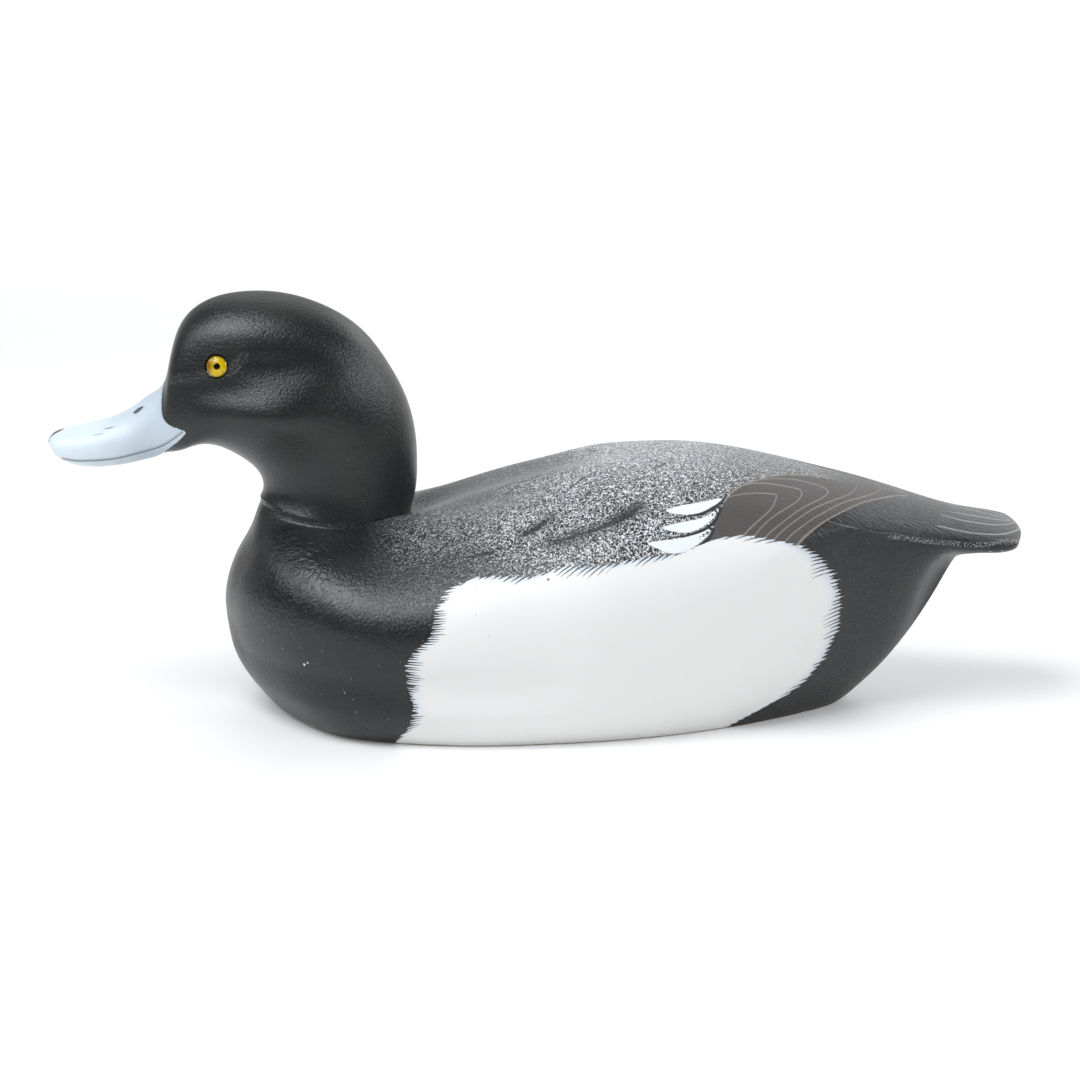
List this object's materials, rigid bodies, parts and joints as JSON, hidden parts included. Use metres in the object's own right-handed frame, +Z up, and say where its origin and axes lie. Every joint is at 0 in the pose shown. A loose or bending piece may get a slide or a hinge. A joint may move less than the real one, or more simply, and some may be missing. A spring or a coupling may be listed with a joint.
{
  "type": "duck decoy",
  "caption": "Life-size drake duck decoy, carved and painted in wood, with a glued-on head, glass eyes and a flat base to stand on.",
  "frame": {"origin": "on the table, below the middle of the overall length and on the plane of symmetry", "axes": "+X towards the tail, with the bill at -X; +Z up; the decoy's own left side faces -Y"},
  "size_m": [0.3579, 0.147, 0.1543],
  "materials": {
    "painted_body": "satin artist's paint on smoothed wood, black, white and stippled grey",
    "painted_head": "satin black paint with a faint green sheen, pale blue-grey bill",
    "eye_glass": "clear polished glass over a yellow iris and a black pupil"
  },
  "bodies": {
    "root": {"body": "painted_body", "head": "painted_head", "eye_left": "eye_glass", "eye_right": "eye_glass"}
  },
  "joints": []
}
